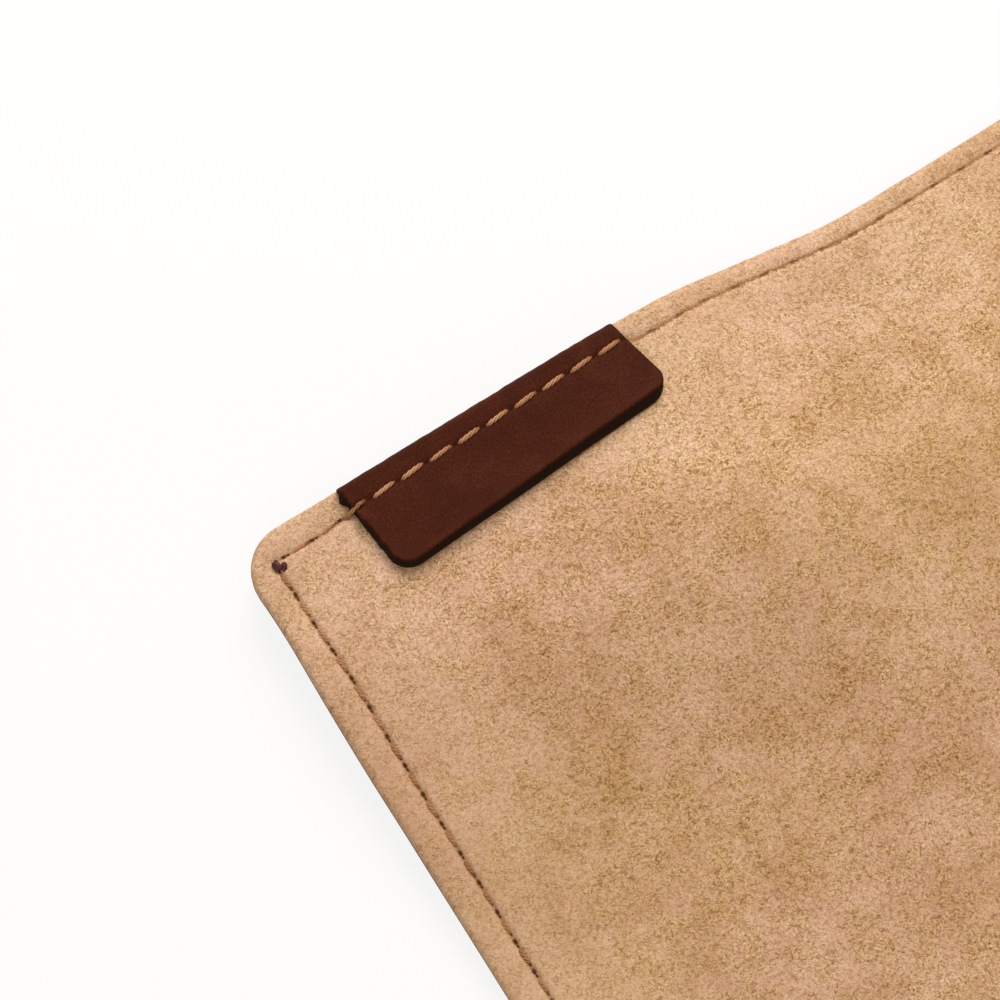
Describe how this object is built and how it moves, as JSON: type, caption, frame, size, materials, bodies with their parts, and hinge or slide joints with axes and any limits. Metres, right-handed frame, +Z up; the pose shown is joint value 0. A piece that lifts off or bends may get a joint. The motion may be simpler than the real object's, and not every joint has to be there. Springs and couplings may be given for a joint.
{
  "type": "pen roll",
  "caption": "Open leather pen roll: suede lining sewn to an outer sheet, a folded leather label on the top edge and a row of sewn pen pockets; it rolls up fold by fold.",
  "frame": {"origin": "middle of the open roll's footprint, on the surface it lies on", "axes": "+Z up out of the suede lining, +Y towards the roll's top edge with the label, +X from the cover panel towards the last pen slot"},
  "size_m": [0.244, 0.1916, 0.0126],
  "materials": {
    "outer_leather": "smooth, waxed",
    "label_leather": "smooth, satin",
    "suede": "napped, matt",
    "thread": "twisted, waxed"
  },
  "bodies": {
    "cover_panel": {"outer_leather_cover": "outer_leather", "lining_cover": "suede", "label": "label_leather", "edge_seam_cover": "thread"},
    "slot_panel_1": {"outer_leather_slot_1": "outer_leather", "lining_slot_1": "suede", "pen_pocket_1": "suede", "top_seam_slot_1": "thread", "bottom_seam_slot_1": "thread", "divider_seam_1": "thread"},
    "slot_panel_2": {"outer_leather_slot_2": "outer_leather", "lining_slot_2": "suede", "pen_pocket_2": "suede", "top_seam_slot_2": "thread", "bottom_seam_slot_2": "thread", "divider_seam_2": "thread"},
    "slot_panel_3": {"outer_leather_slot_3": "outer_leather", "lining_slot_3": "suede", "pen_pocket_3": "suede", "top_seam_slot_3": "thread", "bottom_seam_slot_3": "thread", "divider_seam_3": "thread"},
    "slot_panel_4": {"outer_leather_slot_4": "outer_leather", "lining_slot_4": "suede", "pen_pocket_4": "suede", "top_seam_slot_4": "thread", "bottom_seam_slot_4": "thread", "divider_seam_4": "thread"},
    "slot_panel_5": {"outer_leather_slot_5": "outer_leather", "lining_slot_5": "suede", "pen_pocket_5": "suede", "edge_seam_slot_5": "thread", "divider_seam_5": "thread"}
  },
  "joints": [
    {"name": "roll_up", "type": "hinge", "parent": "cover_panel", "child": "slot_panel_1", "pos_m": [-0.058, 0, 0], "axis": [0, -1, 0], "range_deg": [0, 72]},
    {"name": "fold_2", "type": "hinge", "parent": "slot_panel_1", "child": "slot_panel_2", "pos_m": [-0.022, 0, 0], "axis": [0, -1, 0], "range_deg": [0, 62.01]},
    {"name": "fold_3", "type": "hinge", "parent": "slot_panel_2", "child": "slot_panel_3", "pos_m": [0.014, 0, 0], "axis": [0, -1, 0], "range_deg": [0, 64.01]},
    {"name": "fold_4", "type": "hinge", "parent": "slot_panel_3", "child": "slot_panel_4", "pos_m": [0.05, 0, 0], "axis": [0, -1, 0], "range_deg": [0, 76.01]},
    {"name": "fold_5", "type": "hinge", "parent": "slot_panel_4", "child": "slot_panel_5", "pos_m": [0.086, 0, 0], "axis": [0, -1, 0], "range_deg": [0, 84.01]}
  ],
  "couplings": [
    {"joint": "fold_2", "follows": "roll_up", "ratio": 0.86111},
    {"joint": "fold_3", "follows": "roll_up", "ratio": 0.88889},
    {"joint": "fold_4", "follows": "roll_up", "ratio": 1.0556},
    {"joint": "fold_5", "follows": "roll_up", "ratio": 1.1667}
  ]
}
